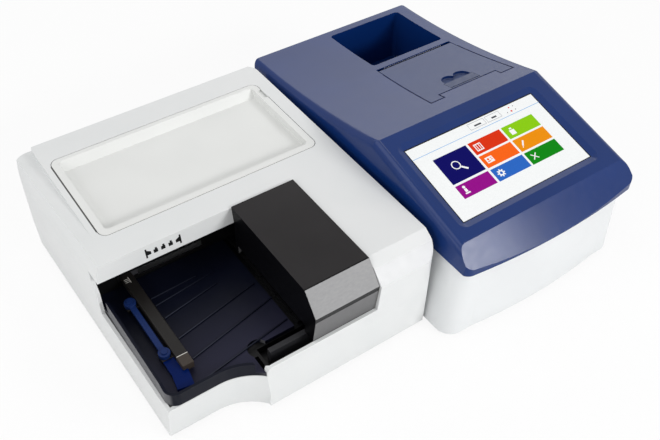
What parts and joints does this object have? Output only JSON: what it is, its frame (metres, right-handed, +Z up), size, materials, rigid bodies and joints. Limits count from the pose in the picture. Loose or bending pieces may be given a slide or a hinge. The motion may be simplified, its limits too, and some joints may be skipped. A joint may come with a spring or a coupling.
{
  "type": "urine analyzer",
  "caption": "Bench urine analyzer: a strip feeder with tray, pusher and reader beside a console with a sloping touch screen, a printer door and a deep well.",
  "frame": {"origin": "middle of the footprint, on the table under the feet", "axes": "+Z up, +Y to the back with the inlet and ports, +X to the right, from the strip feeder to the console"},
  "size_m": [0.468, 0.346, 0.139],
  "materials": {
    "housing_white": "fine moulded texture",
    "cover_blue": "fine satin texture",
    "screen": "smooth touch panel",
    "latch_grey": "satin",
    "black_gloss": "gloss",
    "black_matte": "matt",
    "dark_grey": "satin",
    "tray_navy": "satin",
    "link_blue": "satin",
    "light_grey": "satin",
    "paper_white": "thermal paper",
    "roller_rubber": "ground rubber",
    "feet_rubber": "matt rubber",
    "steel": "brushed",
    "sheet_grey": "powder coat",
    "aluminium": "turned",
    "board_green": "circuit board lacquer",
    "brass": "plain",
    "ceramic_white": "white reference tile"
  },
  "bodies": {
    "housing": {"console_base": "housing_white", "console_cover": "cover_blue", "screen_glass": "screen", "screen_module": "light_grey", "door_hinge_pins": "steel", "paper_bay": "dark_grey", "paper_roll": "paper_white", "print_head": "aluminium", "printer_drive": "black_matte", "tear_bar": "steel", "main_board": "board_green", "board_spacers": "brass", "power_supply": "sheet_grey", "rear_panel": "sheet_grey", "power_inlet": "black_matte", "switch_frame": "black_matte", "data_ports": "steel", "network_port": "steel", "console_feet": "feet_rubber", "console_screws": "steel", "feeder_housing": "housing_white", "feeder_base": "light_grey", "tray_lid": "housing_white", "waste_bin": "light_grey", "bay_liner": "black_matte", "strip_tray": "tray_navy", "feed_rails": "dark_grey", "reader_cover": "black_gloss", "read_stage": "dark_grey", "reference_plate": "ceramic_white", "head_rods": "steel", "head_carrier": "aluminium", "guide_rods": "steel", "drive_frame": "sheet_grey", "drive_belt": "roller_rubber", "idler_pin": "steel", "feed_motor": "black_matte", "feeder_board": "board_green", "feeder_feet": "feet_rubber", "feeder_screws": "steel", "link_plates": "steel"},
    "door": {"printer_door": "cover_blue"},
    "latch": {"door_latch": "latch_grey"},
    "platen": {"platen_roller": "roller_rubber"},
    "rocker": {"power_switch": "black_matte"},
    "pusher": {"pusher_bar": "black_matte", "pusher_carriage": "dark_grey", "pusher_link": "link_blue", "link_pins": "steel", "pusher_tab": "link_blue"},
    "drive_wheel": {"drive_pulley": "aluminium"},
    "idler_wheel": {"idler_pulley": "aluminium"},
    "head": {"optical_head": "black_matte"}
  },
  "joints": [
    {"name": "door_hinge", "type": "hinge", "parent": "housing", "child": "door", "pos_m": [0.163, 0.07, 0.11078], "axis": [-1, 0, 0], "range_deg": [0, 80]},
    {"name": "latch_pivot", "type": "hinge", "parent": "door", "child": "latch", "pos_m": [0.163, 0.0025, 0.12796], "axis": [1, 0, 0], "range_deg": [0, 15], "stiffness_Nm_per_rad": 0.02, "springref_deg": -11.46},
    {"name": "platen_spin", "type": "hinge", "parent": "housing", "child": "platen", "pos_m": [0.163, 0.063, 0.098], "axis": [1, 0, 0], "continuous": true},
    {"name": "switch_rock", "type": "hinge", "parent": "housing", "child": "rocker", "pos_m": [0.1175, 0.167, 0.033], "axis": [-1, 0, 0], "range_deg": [0, 20]},
    {"name": "pusher_slide", "type": "slide", "parent": "housing", "child": "pusher", "axis": [1, 0, 0], "range_m": [0, 0.066]},
    {"name": "drive_spin", "type": "hinge", "parent": "housing", "child": "drive_wheel", "pos_m": [-0.106, 0.0228, 0.075], "axis": [0, -1, 0], "range_deg": [0, 475]},
    {"name": "idler_spin", "type": "hinge", "parent": "housing", "child": "idler_wheel", "pos_m": [-0.2095, 0.0228, 0.075], "axis": [0, -1, 0], "range_deg": [0, 475]},
    {"name": "head_scan", "type": "slide", "parent": "housing", "child": "head", "axis": [0, 1, 0], "range_m": [0, 0.04]}
  ],
  "couplings": [
    {"joint": "drive_spin", "follows": "pusher_slide", "rad_per_m": 125},
    {"joint": "idler_spin", "follows": "pusher_slide", "rad_per_m": 125}
  ]
}
